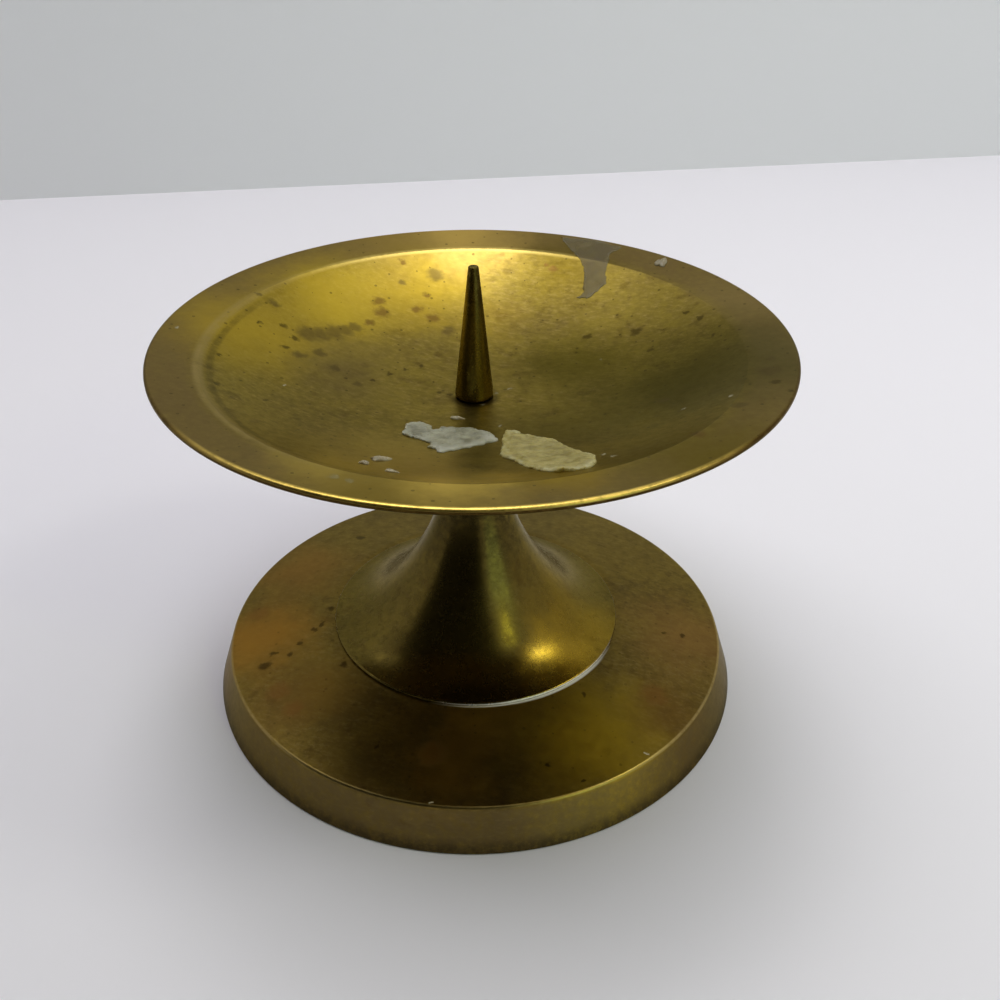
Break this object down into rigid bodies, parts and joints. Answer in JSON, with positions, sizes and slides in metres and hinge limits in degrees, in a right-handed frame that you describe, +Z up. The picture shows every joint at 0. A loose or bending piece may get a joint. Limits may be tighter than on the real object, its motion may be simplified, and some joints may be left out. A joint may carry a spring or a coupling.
{
  "type": "pricket candle stand",
  "caption": "Low brass candle stand with a spike on a shallow drip dish, a trumpet-shaped stem and a round hollow base.",
  "frame": {"origin": "middle of the base's foot ring, on the table", "axes": "+Z up along the axis that every metal piece is turned about, +X to the viewer's right and +Y away from the viewer of the picture"},
  "size_m": [0.0792, 0.0792, 0.0606],
  "materials": {
    "base_brass": "turned, tarnished to olive and orange brown",
    "stem_brass": "turned and polished, lightly tarnished",
    "dish_brass": "spun, satin well with brown spots and a dull rim",
    "pricket_brass": "turned, dark with old wax",
    "plated_steel": "zinc plated, dull",
    "pale_wax": "thin candle wax, bluish white and slightly see-through",
    "yellow_wax": "thicker candle wax, yellowish and waxy",
    "grey_wax": "a smear of candle wax, grey over the brass",
    "crumb_wax": "crumbs of candle wax"
  },
  "bodies": {
    "root": {"base": "base_brass", "stem": "stem_brass", "drip_dish": "dish_brass", "pricket": "pricket_brass", "base_screw": "plated_steel", "base_washer": "plated_steel", "spring_washer": "plated_steel", "wax_flake_pale": "pale_wax", "wax_flake_yellow": "yellow_wax", "wax_film": "grey_wax", "wax_crumbs": "crumb_wax"}
  },
  "joints": []
}
